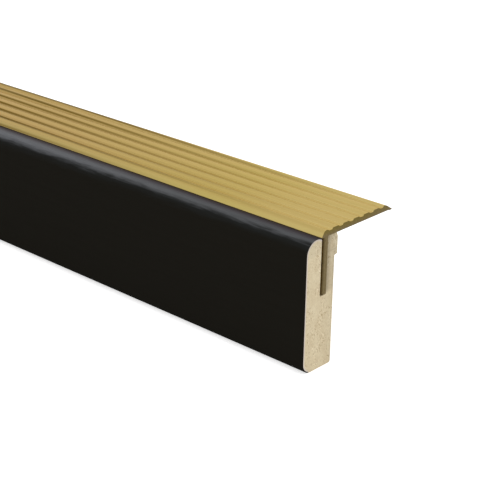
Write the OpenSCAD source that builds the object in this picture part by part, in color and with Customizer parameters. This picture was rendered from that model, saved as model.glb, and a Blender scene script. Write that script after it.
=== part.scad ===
// Stair nosing, sold as a straight length of stock. A board faces the front of
// the step, wrapped in a thin decor foil from the slot in its top down to the
// foot of its front face. A ribbed aluminium angle plugs into that slot. Its
// flange covers the slot in front, lies on the board and reaches back over the
// floor covering.
//
// Each piece is one section run along the length. Sections are drawn as
// [depth, height]: depth from the front face, height from the underside.

/* [Length] */
// Length of the stock
length = 1000; // [300:50:2700]

/* [Board] */
// Thickness of the board's body, foil included
board_t = 18.3; // [17:0.1:22]
// Height of the board's flat top, where the flange lies
board_h = 60; // [50:1:80]
// Radius of the round front lip, foil included
lip_r = 6.5; // [6:0.1:8]
// Height of the lip's crown above the flat top
lip_rise = 0.8; // [0.2:0.1:1.5]
// Radius of the round-over at the foot of the front face, foil included
toe_r = 5.1; // [3:0.1:8]
// How far round the foot the foil reaches, in degrees
toe_wrap = 74; // [45:1:85]
// Chamfer along the bottom back edge
heel_break = 0.6; // [0.2:0.1:1.5]
// Thickness of the decor foil
foil_t = 0.4; // [0.2:0.05:0.6]

/* [Head at the top of the board's back] */
// Height of the head, which is the floor covering's thickness
head_h = 10; // [7:0.5:14]
// How far the head stands out behind the body
head_out = 1.75; // [0.5:0.05:3]
// How far the head's underside rises towards its outer edge
head_undercut = 0.4; // [0.1:0.1:1]
// Chamfer on the head's top edge, measured along the top
head_break_w = 0.7; // [0.2:0.1:1.5]
// Chamfer on the head's top edge, measured down the back
head_break_h = 1.8; // [0.2:0.1:3]

/* [Slot] */
// Depth of the slot's front wall behind the front face
slot_front = 9.65; // [8.5:0.05:10.5]
// Free room between the slot's front wall and the leg
slot_gap = 1; // [0.5:0.05:1.3]
// Free room under the leg
slot_floor_gap = 0.3; // [0.1:0.1:2]

/* [Aluminium angle] */
// Thickness of the leg
leg_t = 3; // [2:0.1:3.5]
// How deep the leg reaches below the board's flat top
leg_depth = 26; // [15:0.5:35]
// Lead-in chamfer on the leg's end
leg_break = 0.4; // [0.1:0.1:0.8]
// Width of the flange, from its front edge to the tip
flange_w = 47.4; // [37:0.2:71]
// Thickness of the flange at the crests of its ribs
flange_t = 2.9; // [2.2:0.05:4]
// Thickness of the flange's front edge, which covers the slot's free room
front_edge_t = 0.2; // [0.1:0.05:0.6]
// Angle at which the flange's front slopes up from that edge
front_angle = 57; // [45:1:75]
// Radius where the front slope meets the crest
corner_r = 2; // [0.5:0.1:2.5]
// Radius of the fillet between the leg's front and the flange
root_r = 0.4; // [0.1:0.05:0.8]

/* [Ribs of the flange] */
// Distance from one rib to the next
rib_pitch = 6.9; // [5.5:0.05:9]
// Flat land between the corner and the first groove
first_land_w = 0.15; // [0.1:0.05:3]
// Depth of the grooves between the ribs
groove_depth = 0.7; // [0.3:0.05:1.2]
// Width of a groove's front wall, the gentle back slope of the rib before it
groove_fall_w = 2.1; // [0.8:0.1:2.5]
// Width of a groove's floor
groove_floor_w = 1.3; // [0.8:0.1:2]
// Width of a groove's back wall, the steep front of the rib behind it
groove_rise_w = 0.65; // [0.3:0.05:1]

/* [Nose at the flange's back edge] */
// Angle at which the nose slopes down
nose_angle = 32; // [20:1:50]
// Radius where the nose leaves the last rib
nose_r = 4; // [1:0.5:6]
// Radius of the tip
tip_r = 0.25; // [0.15:0.05:0.5]
// How far the foot under the tip stands out below the flange
foot_drop = 0.3; // [0.1:0.1:0.8]
// Width of the foot, from the tip
foot_w = 1.65; // [1:0.05:3]
// Width of the ramp from the flange's underside down to the foot
foot_ramp_w = 0.8; // [0.2:0.1:2]

/* [Hidden] */

core_colour = "#cdbe9e";
foil_colour = "#1b1a16";
gold_colour = "#bfa868";

// Steps in a large round, in a small one and in a groove's wall
round_steps = 24;
tip_steps = 8;
wall_steps = 8;

// Places across the section
slot_back = slot_front + slot_gap + leg_t;
leg_front = slot_front + slot_gap;
leg_foot = board_h - leg_depth;
slot_floor = leg_foot - slot_floor_gap;
head_back = board_t + head_out;
tip_y = slot_front + flange_w;
crest_z = board_h + flange_t;
lip_centre = [lip_r, board_h + lip_rise - lip_r];
toe_centre = [toe_r, toe_r];
root_centre = [leg_front - root_r, board_h - root_r];
foot_z = board_h - foot_drop;
tip_centre = [tip_y - tip_r, foot_z + tip_r];

// The nose's slope is tangent to the tip and would meet the crests at nose_top
nose_top = tip_centre[0] + tip_r * sin(nose_angle)
    - (crest_z - tip_centre[1] - tip_r * cos(nose_angle)) / tan(nose_angle);
nose_start = nose_top - nose_r * tan(nose_angle / 2);
nose_centre = [nose_start, crest_z - nose_r];

// The front slope rises from the edge until it is tangent to the corner's round
front_rise = flange_t - front_edge_t - corner_r * (1 - cos(front_angle));
corner_centre = [slot_front + front_rise / tan(front_angle) + corner_r * sin(front_angle),
                 crest_z - corner_r];

// As many whole grooves as fit between the corner's land and the nose
first_groove = corner_centre[0] + first_land_w;
groove_w = groove_fall_w + groove_floor_w + groove_rise_w;
groove_count = 1 + floor((nose_start - first_groove - groove_w) / rib_pitch);

function arc(centre, r, from, to, steps) =
    [for (i = [0 : steps])
        let (a = from + (to - from) * i / steps)
        centre + r * [cos(a), sin(a)]];

// The foil's face at a distance below its outside: over the lip from the slot,
// down the front and round the foot
function wrap_line(inset) =
    let (r = lip_r - inset)
    concat(
        arc(lip_centre, r, acos((slot_front - lip_centre[0]) / r), 180, round_steps),
        arc(toe_centre, toe_r - inset, 180, 180 + toe_wrap, round_steps));

// A groove's wall from one height to another, eased by half a cosine wave
function wall_line(y, width, from_z, to_z) =
    [for (i = [0 : wall_steps])
        let (t = i / wall_steps)
        [y + width * t, from_z + (to_z - from_z) * (1 - cos(180 * t)) / 2]];

// One groove: a gentle fall, a flat floor and a steep rise
function groove_line(y) =
    let (floor_z = crest_z - groove_depth)
    concat(
        wall_line(y, groove_fall_w, crest_z, floor_z),
        wall_line(y + groove_fall_w + groove_floor_w, groove_rise_w, floor_z, crest_z));

function ribbed_line() =
    [for (i = [0 : groove_count - 1]) each groove_line(first_groove + i * rib_pitch)];

// Runs a section along the length, with the origin under the middle of its depth
module run_section(points) {
    translate([0, -tip_y / 2, 0])
        rotate([90, 0, 90])
            linear_extrude(height = length, center = true)
                polygon(points);
}

module board_core() {
    color(core_colour)
        run_section(concat(
            wrap_line(foil_t),
            arc(toe_centre, toe_r, 180 + toe_wrap, 270, tip_steps),
            [[board_t - heel_break, 0],
             [board_t, heel_break],
             [board_t, board_h - head_h],
             [head_back, board_h - head_h + head_undercut],
             [head_back, board_h - head_break_h],
             [head_back - head_break_w, board_h],
             [slot_back, board_h],
             [slot_back, slot_floor],
             [slot_front, slot_floor]]));
}

module decor_wrap() {
    inner = wrap_line(foil_t);
    color(foil_colour)
        run_section(concat(
            wrap_line(0),
            [for (i = [len(inner) - 1 : -1 : 0]) inner[i]]));
}

module aluminium_angle() {
    color(gold_colour)
        run_section(concat(
            [[slot_back, board_h],
             [slot_back, leg_foot + leg_break],
             [slot_back - leg_break, leg_foot],
             [leg_front + leg_break, leg_foot],
             [leg_front, leg_foot + leg_break]],
            arc(root_centre, root_r, 0, 90, tip_steps),
            [[slot_front, board_h],
             [slot_front, board_h + front_edge_t]],
            arc(corner_centre, corner_r, 90 + front_angle, 90, round_steps),
            ribbed_line(),
            arc(nose_centre, nose_r, 90, 90 - nose_angle, tip_steps),
            arc(tip_centre, tip_r, 90 - nose_angle, -90, tip_steps),
            [[tip_y - foot_w, foot_z],
             [tip_y - foot_w - foot_ramp_w, board_h]]));
}

board_core();
decor_wrap();
aluminium_angle();
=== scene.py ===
"""Stair nosing: a length of black wrapped fibreboard with a ribbed gold aluminium angle
plugged into its top, on a plain pale floor.

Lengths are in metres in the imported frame: X along the stock, Y back over the step, Z up.
The materials work in millimetres, with depth counted from the outer front face.
"""

import math

import bpy
from mathutils import Matrix, Vector


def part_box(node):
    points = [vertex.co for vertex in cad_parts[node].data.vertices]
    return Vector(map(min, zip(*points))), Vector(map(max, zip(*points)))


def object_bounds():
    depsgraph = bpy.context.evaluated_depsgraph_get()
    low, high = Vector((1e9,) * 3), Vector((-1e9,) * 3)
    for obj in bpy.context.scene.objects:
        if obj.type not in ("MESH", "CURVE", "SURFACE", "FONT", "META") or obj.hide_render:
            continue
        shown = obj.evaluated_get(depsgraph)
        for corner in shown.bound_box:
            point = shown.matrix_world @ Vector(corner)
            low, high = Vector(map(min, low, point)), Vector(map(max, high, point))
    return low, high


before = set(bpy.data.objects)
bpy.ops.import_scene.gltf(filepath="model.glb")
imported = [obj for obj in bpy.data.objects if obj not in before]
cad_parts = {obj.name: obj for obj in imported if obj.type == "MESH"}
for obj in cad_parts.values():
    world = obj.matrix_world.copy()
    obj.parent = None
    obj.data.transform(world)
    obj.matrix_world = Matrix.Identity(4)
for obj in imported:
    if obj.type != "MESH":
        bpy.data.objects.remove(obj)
cad_low, cad_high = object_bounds()

MM = 0.001

# The section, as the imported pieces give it, in millimetres
core_low, core_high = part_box("board_core")
wrap_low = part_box("decor_wrap")[0]
angle_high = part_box("aluminium_angle")[1]
HALF_LENGTH = core_high.x / MM
FRONT = wrap_low.y / MM
FOIL_T = (core_low.y - wrap_low.y) / MM
CREST_Z = angle_high.z / MM

# Places and sizes of the section that a box doesn't give, in millimetres
LIP_R = 6.5
LIP_CENTRE_Z = 54.3
LIP_WIDTH = 9.65
TOE_R = 5.1
TOE_WIDTH = 3.7
BOARD_T = 18.3
BOARD_TOP_Z = 60.0
HEAD_FOOT_Z = 50.0
SLOT_FOOT_Z = 33.7
LEG_FRONT = 10.65
LEG_BACK = 13.65
FLANGE_CORNER = 12.5
NOSE_START = 51.4
GROOVE_FIRST = 12.64
GROOVE_PITCH = 6.9
GROOVE_COUNT = 6
GROOVE_W = 4.05

# Height of the faint mark that the cutter left on the board's sawn ends
CUTTER_Z = 53.0

# Where the first of the flange's painted shade lines is and how far apart they are: each
# at the stock's end, and how much more for every millimetre away from it, up to the reach
LINE_FIRST = (11.2, 0.0125)
LINE_PITCH = (7.44, 0.00098)
LINE_REACH = 270.0
# Half a painted shade line's width and half the width of its soft edge, as shares of the pitch
LINE_HALF = 0.14
LINE_SOFT = 0.04
# How far a painted shade line leans back for each millimetre that it drops into a groove
LINE_LEAN = 1 / math.tan(math.radians(29.9))
# The painted shade line that grows most slowly along the stock, and the count past which a
# line makes the painted shade rim along the flange's back
SLOW_LINE = 2.2
RIM_LINE = 4.5
# How far from the stock's end a painted shade line starts: the first one, how much further
# each one behind it, and the rim. Then where the slowest and the others are at full strength
LINE_START = -19.0
LINE_DELAY = 18.0
RIM_START = 12.0
SLOW_FULL = 290.0
LINE_FULL = 213.0
# How strong the painted shade skirt in front of a line is: at the stock's end and well away
# from it
SKIRT = (0.09, 0.28)

# How bright painted light makes the flange's grooves at the stock's ends, how far that
# reaches along it, and how bright the last groove stays
GROOVE_SHINE = 0.8
SHINE_REACH = 70.0
LAST_SHINE = 0.4

# Bends sharper than this, in degrees, stay crisp edges. Points of a mesh that are nearer to
# each other than the weld, in millimetres, become one
SHARPEST_ROUND = 25
WELD = 0.001

# How near to the plane of a sawn end a point has to be to count as on it
END_SKIN = 0.02

# The photograph's view, with angles in degrees
CAMERA_AZIMUTH = 41.962
CAMERA_ELEVATION = 23.128
CAMERA_ROLL = -1.034
CAMERA_LENS = 95.523
CAMERA_DISTANCE = 0.50857
CAMERA_AIM = Vector((0.5, -0.062763, 0.068271))
SENSOR = 36.0

# The room's light, where 1 is white
ROOM_LEVEL = 0.96
DIM_LEVEL = 0.82
DIM_CORNER = Vector((-0.9, -0.32, 0.29))
DIM_FROM = math.cos(math.radians(30))
DIM_TO = math.cos(math.radians(12))

# The square soft light that faces the near end
END_BOX_PLACE = (1.8, -0.5, 0.9)
END_BOX_AIM = (0.5, 0, 0.03)
END_BOX_SIDE = 1.2
END_BOX_LEVEL = 0.95

# The floor lies just clear of the board, and its glow takes it to white where it is lit
FLOOR_SIDE = 180.0
FLOOR_DROP = 0.0001
FLOOR_GLOW = 0.62


def srgb(red, green, blue):
    """A colour as a picture shows it, from 0 to 255, in Blender's linear values."""
    def linear(value):
        share = value / 255
        return share / 12.92 if share <= 0.04045 else ((share + 0.055) / 1.055) ** 2.4
    return linear(red), linear(green), linear(blue), 1.0


WHITE = (1.0, 1.0, 1.0, 1.0)


class Shader:
    """The nodes of a material or of the world, made by short calls. A value given to a
    call is a number, a colour or another node's output."""

    def __init__(self, owner):
        self.owner = owner
        owner.use_nodes = True
        self.tree = owner.node_tree
        self.tree.nodes.clear()

    def put(self, socket, value):
        if isinstance(value, bpy.types.NodeSocket):
            self.tree.links.new(value, socket)
        else:
            socket.default_value = value

    def add(self, kind, inputs=None, **settings):
        node = self.tree.nodes.new("ShaderNode" + kind)
        for name, value in settings.items():
            setattr(node, name, value)
        for name, value in (inputs or {}).items():
            self.put(node.inputs[name], value)
        return node

    def math(self, operation, *values):
        node = self.add("Math", dict(enumerate(values)), operation=operation)
        return node.outputs[0]

    def plus(self, first, second):
        return self.math("ADD", first, second)

    def minus(self, first, second):
        return self.math("SUBTRACT", first, second)

    def times(self, first, *others):
        for other in others:
            first = self.math("MULTIPLY", first, other)
        return first

    def times_plus(self, value, factor, added):
        return self.math("MULTIPLY_ADD", value, factor, added)

    def maximum(self, first, second):
        return self.math("MAXIMUM", first, second)

    def absolute(self, value):
        return self.math("ABSOLUTE", value)

    def diagonal(self, across, up):
        squares = self.plus(self.times(across, across), self.times(up, up))
        return self.math("SQRT", squares)

    def above(self, value, limit):
        """1 where the value is above the limit and 0 elsewhere."""
        return self.math("GREATER_THAN", value, limit)

    def below(self, value, limit):
        """1 where the value is below the limit and 0 elsewhere."""
        return self.math("LESS_THAN", value, limit)

    def fade(self, value, start, end, low=0.0, high=1.0, kind="SMOOTHSTEP"):
        """Goes smoothly from low at start to high at end, and stays there."""
        node = self.add("MapRange", interpolation_type=kind)
        for index, given in enumerate((value, start, end, low, high)):
            self.put(node.inputs[index], given)
        return node.outputs[0]

    def linear(self, value, start, end, low=0.0, high=1.0):
        """Goes evenly from low at start to high at end, and stays there."""
        return self.fade(value, start, end, low, high, "LINEAR")

    def mix(self, factor, first, second, blend="MIX"):
        node = self.add("Mix", data_type="RGBA", blend_type=blend)
        sockets = (node.inputs[0], *node.inputs[6:8])
        for socket, given in zip(sockets, (factor, first, second)):
            self.put(socket, given)
        return node.outputs[2]

    def tint(self, factor, colour, by):
        """The colour, multiplied by another as far as the factor says."""
        return self.mix(factor, colour, self.mix(1.0, colour, by, "MULTIPLY"))

    def place(self):
        """The point on the object in millimetres."""
        here = self.add("TexCoord").outputs["Object"]
        scaled = self.add("VectorMath", {0: here}, operation="SCALE")
        scaled.inputs["Scale"].default_value = 1 / MM
        return scaled.outputs[0]

    def split(self, place):
        """The point's distance along the stock from its middle, its depth and its height."""
        node = self.add("SeparateXYZ", {0: place})
        x, y, z = node.outputs
        return x, self.minus(y, FRONT), z

    def noise(self, place, size, detail=2.0, roughness=0.5, turn=None):
        """Soft noise whose features have the given size along each axis, in millimetres,
        and are turned by the given angles."""
        if turn:
            place = self.add(
                "VectorRotate",
                {"Vector": place, "Rotation": [math.radians(angle) for angle in turn]},
                rotation_type="EULER_XYZ",
            ).outputs[0]
        stretched = self.add(
            "VectorMath", {0: place, 1: [1 / side for side in size]}, operation="MULTIPLY"
        ).outputs[0]
        node = self.add(
            "TexNoise",
            {"Vector": stretched, "Scale": 1.0, "Detail": detail, "Roughness": roughness},
        )
        return node.outputs["Fac"]

    def bump(self, height, distance, normal=None):
        """A bump whose height of 1 stands out by the given distance in millimetres."""
        node = self.add("Bump", {"Height": height, "Distance": distance * MM})
        if normal:
            self.put(node.inputs["Normal"], normal)
        return node.outputs[0]

    def finish(self, surface, output="OutputMaterial"):
        self.add(output, {"Surface": surface})
        return self.owner


def new_material(name):
    return Shader(bpy.data.materials.new(name))


def cut_end(s, x):
    """1 on the two sawn ends of the stock and 0 along it."""
    return s.above(s.absolute(x), HALF_LENGTH - END_SKIN)


def from_cut(s, x):
    """How far a point is from the nearer end of the stock, in millimetres."""
    return s.minus(HALF_LENGTH, s.absolute(x))


def inside_foil(s, depth, z):
    """How far a point of the board lies behind the foil, in millimetres."""
    up = s.times(s.maximum(s.minus(z, LIP_CENTRE_Z), 0.0), s.below(depth, LIP_WIDTH))
    lip = s.diagonal(up, s.maximum(s.minus(LIP_R, depth), -LIP_R / 2))
    past_foil = s.fade(depth, TOE_WIDTH, TOE_WIDTH + 1.5, 1.0, 0.0)
    down = s.times(s.maximum(s.minus(TOE_R, z), 0.0), past_foil)
    toe = s.diagonal(down, s.maximum(s.minus(TOE_R, depth), 0.0))
    return s.math("MINIMUM", s.minus(LIP_R - FOIL_T, lip), s.minus(TOE_R - FOIL_T, toe))


def lip_angle(s, depth, z):
    """The angle round the front lip in degrees, from 0 where it leaves the flat face to 90
    at its crown."""
    angle = s.math("ARCTAN2", s.minus(z, LIP_CENTRE_Z), s.minus(LIP_R, depth))
    return s.math("DEGREES", angle)


def line_count(s, along, depth, z):
    """Which of the flange's painted shade lines a point is on, counted from 0 at the front.
    They are laid out as the photograph shows them, where a point low in a groove looks further
    forward, and they run a little backward away from the stock's ends."""
    along = s.math("MINIMUM", along, LINE_REACH)
    seen = s.times_plus(s.minus(z, CREST_Z), LINE_LEAN, depth)
    first = s.times_plus(along, LINE_FIRST[1], LINE_FIRST[0])
    pitch = s.times_plus(along, LINE_PITCH[1], LINE_PITCH[0])
    return s.math("DIVIDE", s.minus(seen, first), pitch)


def painted_flange_shade(s, along, depth, z):
    """How much painted shade darkens the flange, from 0 to 1: in lines along its top and low
    on its front. The painted shade is fainter towards the stock's ends."""
    count = line_count(s, along, depth, z)
    off = s.minus(s.math("FRACT", s.plus(count, 0.5)), 0.5)

    # Each line grows stronger between two distances from the stock's end. The further back
    # a line is, the later it starts, apart from the rim
    lines = s.fade(s.absolute(off), LINE_HALF + LINE_SOFT, LINE_HALF - LINE_SOFT)
    start = s.times_plus(count, LINE_DELAY, LINE_START)
    start = s.linear(count, RIM_LINE - 0.1, RIM_LINE + 0.1, start, RIM_START)
    full = s.fade(s.absolute(s.minus(count, SLOW_LINE)), 0.5, 2.2, SLOW_FULL, LINE_FULL)
    lines = s.times(lines, s.linear(along, start, full))

    # A fainter skirt lies in front of each line, less so towards the back
    skirt = s.fade(s.absolute(s.plus(off, LINE_HALF)), 2 * LINE_HALF, 0.0)
    skirt = s.times(skirt, s.linear(along, 0.0, 240.0, *SKIRT), s.fade(count, 3.5, 0.5))
    lines = s.times(s.maximum(lines, skirt), s.above(count, -0.5))

    # Well away from the ends the upper half of the nose is painted in shade all over. The rest
    # of it is left unshaded, and so is all that lies below the ribs
    nose = s.times(s.fade(depth, NOSE_START - 0.7, NOSE_START), s.fade(along, 140.0, 225.0))
    lines = s.times(
        s.maximum(lines, nose),
        s.fade(depth, NOSE_START + 2.5, NOSE_START + 1.9),
        s.above(z, CREST_Z - 1.2),
    )

    # The front slope's foot is painted in shade, away from the ends
    front = s.times(
        s.below(depth, FLANGE_CORNER),
        s.fade(z, BOARD_TOP_Z + 1.7, BOARD_TOP_Z + 0.4, 0.0, 0.8),
        s.fade(z, BOARD_TOP_Z + 0.2, BOARD_TOP_Z + 0.6, 0.3, 1.0),
        s.fade(along, 60.0, 240.0),
    )
    return s.maximum(lines, front)


def painted_groove_light(s, along, depth):
    """How much painted light brightens the flange's grooves at the stock's ends. It fades away
    along the stock, apart from some brightness in the last groove."""
    count = s.math("DIVIDE", s.minus(depth, GROOVE_FIRST), GROOVE_PITCH)
    within = s.times(s.math("FRACT", count), GROOVE_PITCH)
    groove = s.times(
        s.fade(within, 0.4, 1.6),
        s.fade(within, GROOVE_W, GROOVE_W - 0.8),
        s.above(count, 0.0),
        s.below(count, float(GROOVE_COUNT)),
    )
    last = s.times(s.above(count, GROOVE_COUNT - 1.0), LAST_SHINE)
    return s.times(groove, s.fade(along, 0.0, SHINE_REACH, GROOVE_SHINE, last))


def end_shade_and_mark(s, depth, z):
    """How light the board's sawn end is from place to place, 1 being plain: painted shade
    darkens it under the flange, beside the slot and at the head's corner. The cutter's mark
    behind the slot is a faint dark line, and the end is a little darker high in front of the
    slot, at the back edge below the head and towards its back."""
    # Painted shade behind the slot, deepest beside the leg, and under the flange towards the
    # top
    at_slot = s.fade(z, SLOT_FOOT_Z - 0.3, SLOT_FOOT_Z + 2.5)
    behind_slot = s.times(at_slot, s.above(depth, LEG_FRONT))
    beside = s.fade(depth, LEG_BACK - 0.25, LEG_BACK + 2.75, -0.43, -0.16)
    beside = s.times_plus(behind_slot, beside, 1.0)
    under = s.times(
        s.fade(z, BOARD_TOP_Z - 4.0, BOARD_TOP_Z, 0.0, -0.16),
        behind_slot,
        s.fade(depth, BOARD_T - 1.5, BOARD_T + 1.0, 1.0, 0.0),
    )
    lobe = s.plus(
        s.fade(z, CUTTER_Z - 0.3, CUTTER_Z + 0.5, 0.0, -0.08),
        s.fade(z, BOARD_TOP_Z - 5.0, BOARD_TOP_Z - 1.5, 0.0, -0.045),
    )
    lobe = s.times(s.below(depth, LIP_WIDTH), lobe)

    # The body's back edge is darker, the cutter left a mark behind the slot, and painted
    # shadow lies at the head's corner below it
    edge = s.fade(depth, BOARD_T - 1.1, BOARD_T - 0.4, 0.0, -0.08)
    edge = s.times_plus(edge, s.below(z, HEAD_FOOT_Z), 1.0)
    mark = s.fade(s.absolute(s.minus(z, CUTTER_Z)), 0.5, 0.2, 0.0, -0.12)
    corner = s.times(
        s.below(z, CUTTER_Z),
        s.fade(depth, BOARD_T - 0.5, BOARD_T, 0.0, -0.1),
        s.fade(depth, BOARD_T + 0.9, BOARD_T + 0.4),
    )
    # The cutter's mark and the painted shadow at the head's corner, behind the slot only
    mark = s.times(s.plus(mark, corner), behind_slot)
    back = s.fade(depth, 8.0, BOARD_T, 1.0, 0.95)
    back = s.times(back, s.times(edge, s.plus(mark, 1.0)))
    return s.times(s.plus(lobe, 1.0), s.plus(under, 1.0), beside, back)


def fibreboard():
    """Raw fibreboard: felted wood fibres, with saw marks on the ends."""
    s = new_material("raw_fibreboard")
    place = s.place()
    x, depth, z = s.split(place)
    end = cut_end(s, x)

    clouds = s.noise(place, (9, 5, 7), 3.0)
    grain = s.noise(place, (0.9, 0.7, 0.9), 3.0, 0.6)
    strands = [
        s.noise(place, (3.2, 0.5, 0.5), 2.0, 0.55, turn)
        for turn in ((0, 50, 40), (0, -40, 70), (0, 10, -30))
    ]
    specks = s.noise(place, (0.7, 0.4, 0.85), 1.0, 0.5, (10, 0, 0))
    tone = s.mix(s.fade(clouds, 0.35, 0.65), srgb(209, 193, 160), srgb(217, 203, 171))
    for fibres, start, full, share, colour in (
        (strands[0], 0.56, 0.72, 0.5, srgb(226, 211, 178)),
        (strands[1], 0.58, 0.72, 0.45, srgb(184, 164, 130)),
        (strands[2], 0.6, 0.75, 0.4, srgb(221, 203, 170)),
        (specks, 0.68, 0.78, 0.45, srgb(158, 134, 100)),
    ):
        tone = s.mix(s.fade(fibres, start, full, 0.0, share), tone, colour)

    # Flecks torn out of the ends by the saw, in loose groups
    group = s.fade(s.noise(place, (6, 5, 5), 1.0), 0.42, 0.58, 0.25, 1.0)
    for size, turn, colour in (
        ((1.5, 1.9, 0.45), (45, 0, 0), srgb(232, 218, 188)),
        ((1.5, 1.6, 0.45), (50, 8, 0), srgb(176, 156, 122)),
        ((1.5, 0.45, 1.9), (5, 12, 0), srgb(228, 212, 180)),
        ((1.5, 0.4, 1.8), (-4, 20, 0), srgb(182, 162, 128)),
    ):
        fleck = s.fade(s.noise(place, size, 1.0, 0.5, turn), 0.6, 0.7)
        tone = s.mix(s.times(fleck, s.times(group, end)), tone, colour)

    # The ends' pale rim, their painted shade and the dark line of glue behind the foil
    behind = inside_foil(s, depth, z)
    rim = s.times(end, s.fade(behind, 1.0, 0.4), 0.8)
    tone = s.mix(rim, tone, srgb(214, 203, 196))
    tone = s.tint(end, tone, end_shade_and_mark(s, depth, z))
    glue = s.times(end, s.fade(behind, 0.16, 0.08))
    tone = s.mix(glue, tone, srgb(46, 40, 32))

    normal = s.bump(s.plus(s.times(grain, 0.6), s.times(strands[0], 0.4)), 0.12)
    board = s.add("BsdfPrincipled", {"Base Color": tone, "Roughness": 0.85, "Normal": normal})
    board.inputs["Specular IOR Level"].default_value = 0.2
    return s.finish(board.outputs[0])


def black_foil():
    """Matt black decor foil, a little uneven over the fibres beneath."""
    s = new_material("matt_black_foil")
    place = s.place()
    x, depth, z = s.split(place)
    along = from_cut(s, x)
    waves = s.noise(place, (28, 2.2, 2.2), 3.0, 0.5)
    pores = s.noise(place, (0.5, 0.35, 0.35), 2.0, 0.5)
    tone = s.mix(s.fade(waves, 0.3, 0.7), srgb(23, 21, 16), srgb(24, 22, 17))
    normal = s.bump(waves, 0.03, s.bump(pores, 0.006))

    # The lip's shoulder is burnished between two angles, unevenly and less so towards the
    # ends, and the rest is matt
    angle = lip_angle(s, depth, z)
    streaks = s.noise(place, (22, 3, 3), 3.0, 0.5)
    brushed = s.noise(place, (9, 0.9, 0.9), 2.0, 0.5)
    uneven = s.plus(angle, s.fade(streaks, 0.3, 0.7, -4.0, 4.0))
    uneven = s.plus(uneven, s.fade(brushed, 0.35, 0.65, -2.5, 2.5))
    lowest = s.plus(
        s.fade(along, 20.0, 260.0, 36.0, 18.5),
        s.fade(along, 0.0, 65.0, 7.5, 0.0),
    )
    highest = s.fade(along, 0.0, 170.0, 64.0, 56.5)
    shoulder = s.times(
        s.fade(uneven, lowest, highest),
        s.fade(angle, 61.0, 92.0, 1.0, 0.25),
        s.fade(brushed, 0.35, 0.65, 0.95, 1.05),
    )
    gloss = s.plus(s.times(shoulder, s.fade(along, 0.0, 240.0, 0.6, 0.95)), 0.02)

    # Painted sheen where the lip's highlight falls: grey below the shoulder, a blue tint on it
    # and faintly purple above
    below = s.fade(along, 60.0, 220.0, 8.0, -14.0)
    tone = s.mix(s.fade(uneven, below, 42.0), tone, srgb(30, 31, 30))
    painted_sheen_tint = s.mix(s.fade(along, 60.0, 200.0), srgb(27, 31, 37), srgb(27, 32, 44))
    tone = s.mix(shoulder, tone, painted_sheen_tint)
    tone = s.mix(s.fade(angle, 64.0, 84.0, 0.0, 0.6), tone, srgb(43, 29, 38))

    foil = s.add(
        "BsdfPrincipled",
        {"Base Color": tone, "Normal": normal, "Coat Weight": gloss, "Coat Normal": normal},
    )
    foil.inputs["Roughness"].default_value = 0.8
    foil.inputs["Specular IOR Level"].default_value = 0.0
    foil.inputs["Coat Roughness"].default_value = 0.35
    foil.inputs["Coat IOR"].default_value = 2.0
    return s.finish(foil.outputs[0])


def gold_aluminium():
    """Satin gold anodised extrusion, bare and sawn at its ends."""
    s = new_material("gold_anodised_aluminium")
    place = s.place()
    x, depth, z = s.split(place)
    end = cut_end(s, x)
    along = from_cut(s, x)
    streaks = s.noise(place, (60, 0.35, 0.35), 3.0, 0.6)
    wide = s.noise(place, (120, 3.5, 3.5), 2.0, 0.5)
    gold = s.mix(s.fade(streaks, 0.3, 0.7), srgb(199, 174, 110), srgb(203, 179, 115))
    gold = s.mix(s.fade(wide, 0.35, 0.65, 0, 0.4), gold, srgb(192, 172, 102))

    # It is browner away from the ends, but less so on the flange's front, and yellower a
    # little way in. The foot of the front slope is slightly greener
    on_top = (FLANGE_CORNER - 0.5, FLANGE_CORNER)
    away = s.times(s.fade(along, 0.0, 230.0), s.fade(depth, *on_top, 0.5, 1.0))
    brown = s.mix(s.fade(depth, *on_top), (0.895, 0.8, 1.35, 1.0), (0.895, 0.8, 1.0, 1.0))
    gold = s.tint(away, gold, brown)
    gold = s.tint(s.fade(along, 5.0, 70.0), gold, (0.958, 0.975, 0.81, 1.0))
    slope = s.fade(depth, FLANGE_CORNER - 1.3, FLANGE_CORNER - 2.3)
    gold = s.tint(slope, gold, (1.0, 1.05, 1.02, 1.0))

    # Painted light brightens its grooves at the ends, and painted shade darkens its lines, the
    # foot of its front slope and what the slot hides
    gold = s.mix(painted_groove_light(s, along, depth), gold, srgb(213, 192, 127))
    at_back = s.fade(depth, NOSE_START - 0.4, NOSE_START)
    painted_shade_tone = s.mix(at_back, srgb(103, 79, 4), srgb(88, 69, 12))
    gold = s.mix(painted_flange_shade(s, along, depth, z), gold, painted_shade_tone)
    # Painted shade on the leg inside the slot
    hidden = s.times(s.below(z, BOARD_TOP_Z - 0.1), s.below(depth, LEG_BACK + 0.1), 0.8)
    gold = s.mix(hidden, gold, srgb(140, 118, 66))

    # The sawn ends are olive at the top of the flange, less so over its last ribs, and
    # painted shade darkens them beside the slot's free room
    saw = s.noise(place, (1, 2.5, 0.25), 2.0, 0.6, (60, 0, 0))
    bare = s.mix(s.fade(saw, 0.35, 0.65), srgb(101, 88, 61), srgb(119, 106, 77))
    olive = s.times(
        s.fade(z, BOARD_TOP_Z, BOARD_TOP_Z + 2.2, 0.0, 0.75),
        s.fade(depth, 38.0, 48.0, 1.0, 0.55),
    )
    bare = s.mix(olive, bare, srgb(109, 95, 45))
    shaded = s.times(s.below(z, BOARD_TOP_Z), s.fade(depth, LEG_FRONT + 1.5, LEG_FRONT), 0.8)
    bare = s.mix(shaded, bare, srgb(68, 55, 30))

    tone = s.mix(end, gold, bare)
    rough = s.plus(s.fade(streaks, 0.3, 0.7, 0.32, 0.36), s.times(end, 0.25))
    normal = s.bump(s.plus(streaks, s.times(end, saw)), 0.012)
    metal = s.add(
        "BsdfPrincipled",
        {"Base Color": tone, "Roughness": rough, "Metallic": 1.0, "Normal": normal},
    )
    metal.inputs["Specular Tint"].default_value = srgb(251, 241, 214)
    return s.finish(metal.outputs[0])


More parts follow.
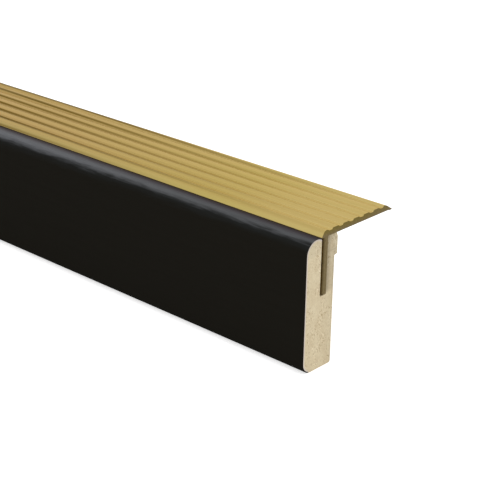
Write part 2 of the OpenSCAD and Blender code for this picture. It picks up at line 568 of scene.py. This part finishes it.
def smooth_rounds(piece):
    """Shades the piece's round faces as smooth and leaves its edges crisp."""
    group = bpy.data.node_groups.new("smooth_rounds", "GeometryNodeTree")
    for in_out in ("INPUT", "OUTPUT"):
        group.interface.new_socket(
            "Geometry", in_out=in_out, socket_type="NodeSocketGeometry"
        )
    steps = [group.nodes.new("NodeGroupInput")]
    welded = group.nodes.new("GeometryNodeMergeByDistance")
    welded.inputs["Distance"].default_value = WELD * MM
    plain = group.nodes.new("GeometryNodeRemoveAttribute")
    plain.inputs["Name"].default_value = "custom_normal"
    smooth = group.nodes.new("GeometryNodeSetShadeSmooth")
    crisp = group.nodes.new("GeometryNodeSetShadeSmooth")
    crisp.domain = "EDGE"
    crisp.inputs["Shade Smooth"].default_value = False
    bend = group.nodes.new("GeometryNodeInputMeshEdgeAngle")
    sharp = group.nodes.new("FunctionNodeCompare")
    sharp.operation = "GREATER_THAN"
    sharp.inputs[1].default_value = math.radians(SHARPEST_ROUND)
    group.links.new(bend.outputs["Unsigned Angle"], sharp.inputs[0])
    group.links.new(sharp.outputs[0], crisp.inputs["Selection"])
    steps += [welded, plain, smooth, crisp, group.nodes.new("NodeGroupOutput")]
    for before, after in zip(steps, steps[1:]):
        group.links.new(before.outputs[0], after.inputs[0])
    modifier = piece.modifiers.new("smooth_rounds", "NODES")
    modifier.node_group = group


def dress(node, material):
    """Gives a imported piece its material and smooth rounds."""
    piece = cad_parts[node]
    for material_slot in piece.material_slots:
        material_slot.material = material
    smooth_rounds(piece)


def make_floor():
    """A plain pale floor, which the camera and reflections see as white where it is lit."""
    place = (0, 0, cad_low.z - FLOOR_DROP)
    bpy.ops.mesh.primitive_plane_add(size=FLOOR_SIDE, location=place)
    floor = bpy.context.object
    floor.name = "floor"
    s = new_material("pale_floor")
    path = s.add("LightPath").outputs
    seen = s.maximum(path["Is Camera Ray"], path["Is Glossy Ray"])
    seen = s.maximum(seen, path["Is Transmission Ray"])
    lit = s.add("BsdfDiffuse", {"Color": (0.75, 0.75, 0.75, 1.0)})
    glow = s.add("Emission", {"Color": WHITE, "Strength": s.times(seen, FLOOR_GLOW)})
    both = s.add("AddShader", {0: lit.outputs[0], 1: glow.outputs[0]})
    floor.data.materials.append(s.finish(both.outputs[0]))


def make_camera():
    """The photograph's camera, aimed at the near end."""
    azimuth = math.radians(CAMERA_AZIMUTH)
    elevation = math.radians(CAMERA_ELEVATION)
    roll = math.radians(CAMERA_ROLL)
    back = Vector((
        math.sin(azimuth) * math.cos(elevation),
        -math.cos(azimuth) * math.cos(elevation),
        math.sin(elevation),
    ))
    right = Vector((math.cos(azimuth), math.sin(azimuth), 0.0))
    up = back.cross(right)
    rolled_right = math.cos(roll) * right - math.sin(roll) * up
    rolled_up = math.cos(roll) * up + math.sin(roll) * right
    data = bpy.data.cameras.new("camera")
    data.sensor_width = SENSOR
    data.lens = CAMERA_LENS
    data.clip_start = 0.01
    camera = bpy.data.objects.new("camera", data)
    place = Matrix((rolled_right, rolled_up, back)).transposed().to_4x4()
    place.translation = CAMERA_AIM + CAMERA_DISTANCE * back
    camera.matrix_world = place
    bpy.context.scene.collection.objects.link(camera)
    bpy.context.scene.camera = camera


def make_light():
    """An even pale room with one dim corner at the front left, and a flat soft light that
    faces the near end. Each level says how bright it looks, where 1 is white."""
    s = Shader(bpy.data.worlds.new("studio"))
    ray = s.add("TexCoord").outputs["Generated"]
    corner = s.add("VectorMath", {0: ray, 1: DIM_CORNER.normalized()}, operation="DOT_PRODUCT")
    level = s.fade(corner.outputs["Value"], DIM_FROM, DIM_TO, ROOM_LEVEL, DIM_LEVEL)
    room = s.add("Background", {"Color": WHITE, "Strength": level})
    bpy.context.scene.world = s.finish(room.outputs[0], "OutputWorld")

    data = bpy.data.lights.new("end_box", "AREA")
    data.shape = "SQUARE"
    data.size = END_BOX_SIDE
    data.energy = END_BOX_LEVEL * math.pi * END_BOX_SIDE ** 2
    lamp = bpy.data.objects.new("end_box", data)
    lamp.location = END_BOX_PLACE
    facing = Vector(END_BOX_AIM) - Vector(END_BOX_PLACE)
    lamp.rotation_euler = facing.to_track_quat("-Z", "Y").to_euler()
    lamp.visible_camera = False
    bpy.context.scene.collection.objects.link(lamp)


make_camera()
dress("board_core", fibreboard())
dress("decor_wrap", black_foil())
dress("aluminium_angle", gold_aluminium())
make_floor()
make_light()
bpy.context.scene.view_settings.view_transform = "Standard"
